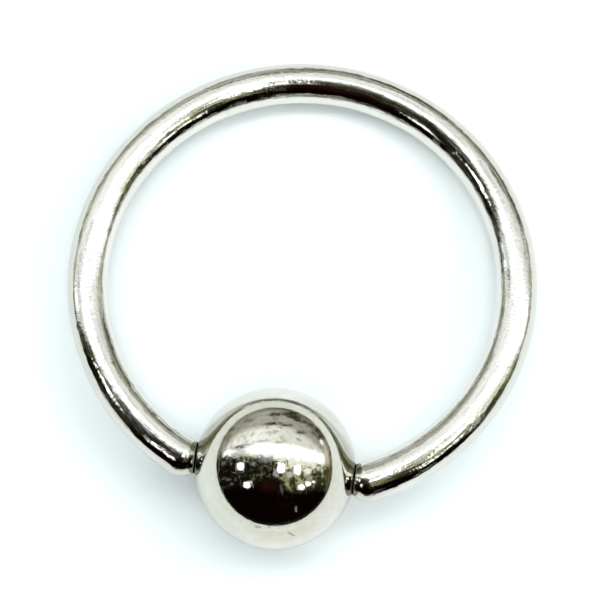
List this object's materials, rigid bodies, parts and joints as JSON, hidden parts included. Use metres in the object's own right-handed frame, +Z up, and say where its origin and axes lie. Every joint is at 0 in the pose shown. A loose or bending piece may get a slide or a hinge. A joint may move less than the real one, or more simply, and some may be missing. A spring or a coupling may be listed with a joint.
{
  "type": "piercing ring",
  "caption": "Captive bead piercing ring: an open round-wire hoop whose rounded ends sit in the dimples of a polished ball that closes it and can turn between them.",
  "frame": {"origin": "on the surface that the ring lies on, below the middle of its bounding box", "axes": "+Z up; +Y from the ball towards the far side of the hoop; +X along the ball's turning axis, the line through its two dimples"},
  "size_m": [0.023, 0.0248, 0.0078],
  "materials": {
    "wire_steel": "polished steel with fine drawing scratches",
    "ball_steel": "mirror-polished steel with fine scratches and small pits"
  },
  "bodies": {
    "ring": {"ring_wire": "wire_steel"},
    "ball": {"captive_ball": "ball_steel"}
  },
  "joints": [
    {"name": "ball_spin", "type": "hinge", "parent": "ring", "child": "ball", "pos_m": [0, -0.00848, 0.0039], "axis": [1, 0, 0], "continuous": true}
  ]
}
